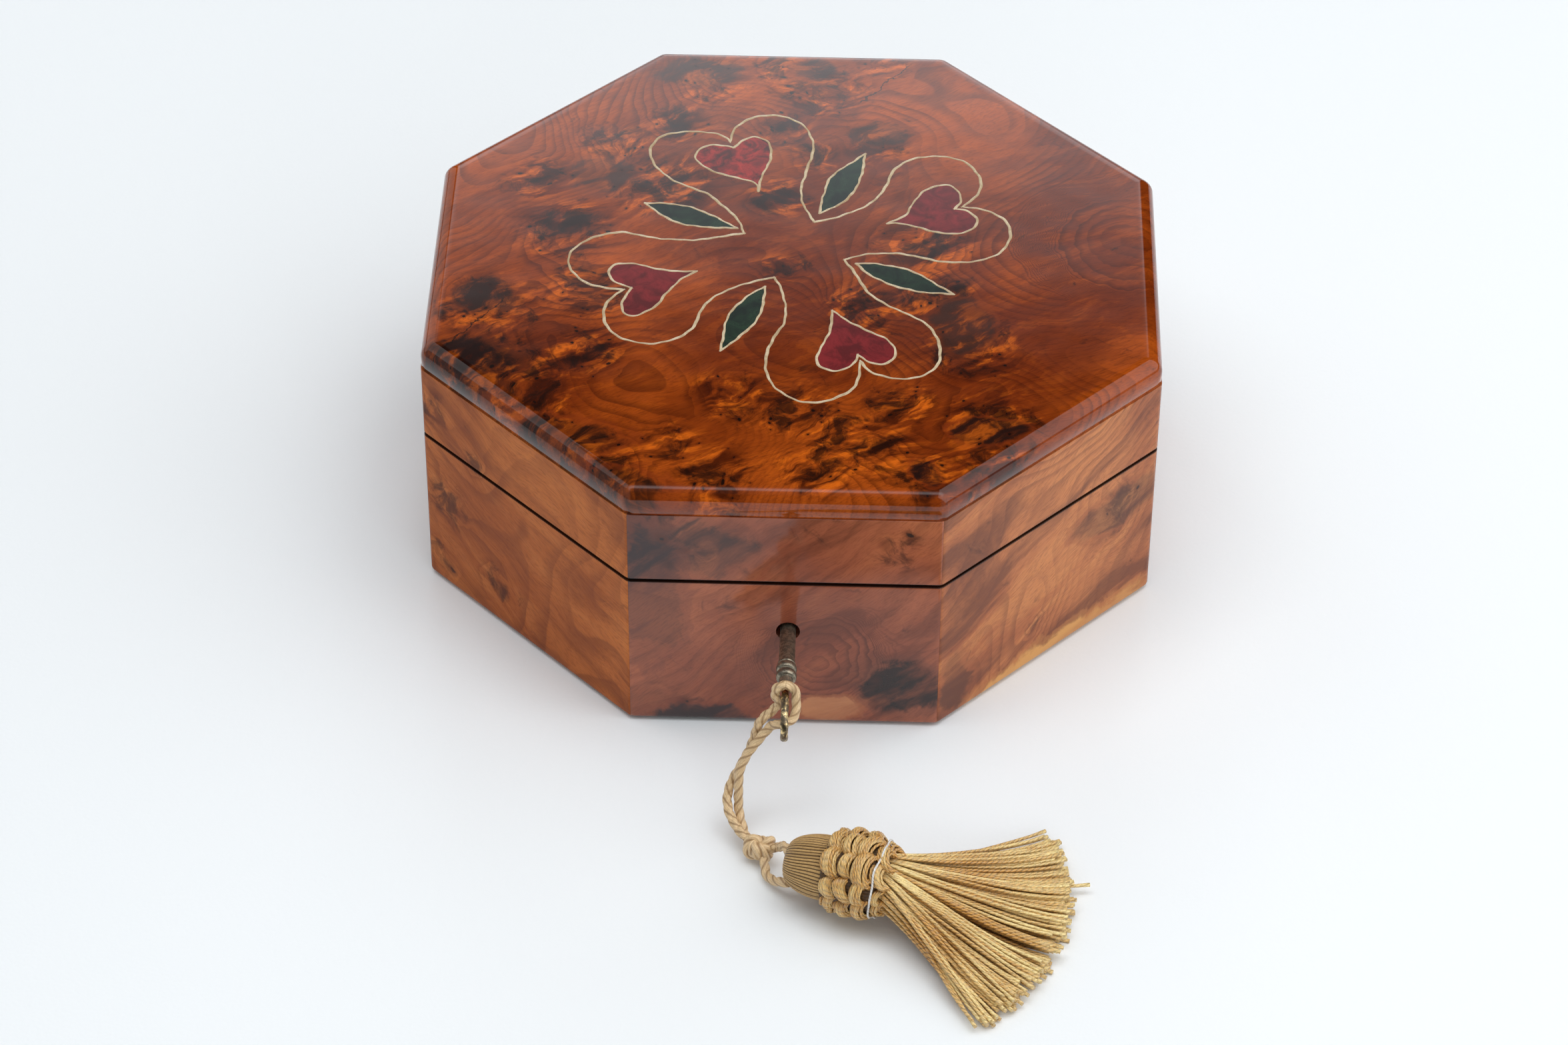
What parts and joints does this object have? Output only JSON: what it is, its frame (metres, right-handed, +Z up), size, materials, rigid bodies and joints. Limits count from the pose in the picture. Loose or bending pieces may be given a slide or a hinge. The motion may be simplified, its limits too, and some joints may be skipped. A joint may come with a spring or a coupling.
{
  "type": "octagonal wooden jewellery box",
  "caption": "Octagonal burl wood box with a hinged, lockable lid, inlaid hearts and leaves, and a key that carries a doubled cord with a tassel",
  "frame": {"origin": "the middle of the underside, on the face that it stands on", "axes": "Z is up out of the lid, Y runs from the lock at the front, -Y, to the hinges at the back, and X runs along the front"},
  "size_m": [0.2, 0.3168, 0.0807],
  "materials": {
    "burl_top": "thick glossy lacquer over burl with dark eyes",
    "burl_side": "polished lacquer over streaked burl",
    "plain_wood": "plain sanded wood",
    "red_inlay": "crimson dyed veneer under lacquer",
    "green_inlay": "dark green dyed veneer under lacquer",
    "pale_inlay": "pale stringing under lacquer",
    "brass": "satin brass",
    "bronze": "dark antique finish, worn bright on its edges",
    "cord": "twisted three-strand tan cord",
    "tassel": "shiny golden brown threads"
  },
  "bodies": {
    "box": {"body_side_front": "burl_side", "body_side_front_right": "burl_side", "body_side_right": "burl_side", "body_side_back_right": "burl_side", "body_side_back": "burl_side", "body_side_back_left": "burl_side", "body_side_left": "burl_side", "body_side_front_left": "burl_side", "bottom_panel": "plain_wood", "hinge_left_body_leaf": "brass", "hinge_left_pin": "brass", "hinge_right_body_leaf": "brass", "hinge_right_pin": "brass", "lock_case": "brass", "key": "bronze", "cord_hitch": "cord", "cord_strand_left": "cord", "cord_strand_right": "cord", "cord_knot": "cord", "cord_end_upper": "cord", "cord_end_lower": "cord", "tassel_head": "tassel", "tassel_ruff": "tassel", "tassel_skirt": "tassel"},
    "lid": {"lid_panel": "burl_top", "lid_side_front": "burl_side", "lid_side_front_right": "burl_side", "lid_side_right": "burl_side", "lid_side_back_right": "burl_side", "lid_side_back": "burl_side", "lid_side_back_left": "burl_side", "lid_side_left": "burl_side", "lid_side_front_left": "burl_side", "line_petals": "pale_inlay", "heart_1": "red_inlay", "line_heart_1": "pale_inlay", "leaf_1": "green_inlay", "line_leaf_1": "pale_inlay", "heart_2": "red_inlay", "line_heart_2": "pale_inlay", "leaf_2": "green_inlay", "line_leaf_2": "pale_inlay", "heart_3": "red_inlay", "line_heart_3": "pale_inlay", "leaf_3": "green_inlay", "line_leaf_3": "pale_inlay", "heart_4": "red_inlay", "line_heart_4": "pale_inlay", "leaf_4": "green_inlay", "line_leaf_4": "pale_inlay", "hinge_left_lid_leaf": "brass", "hinge_right_lid_leaf": "brass", "lock_striker": "brass"}
  },
  "joints": [
    {"name": "lid_hinge", "type": "hinge", "parent": "box", "child": "lid", "pos_m": [0, 0.1019, 0.05035], "axis": [-1, 0, 0], "range_deg": [0, 100]}
  ]
}
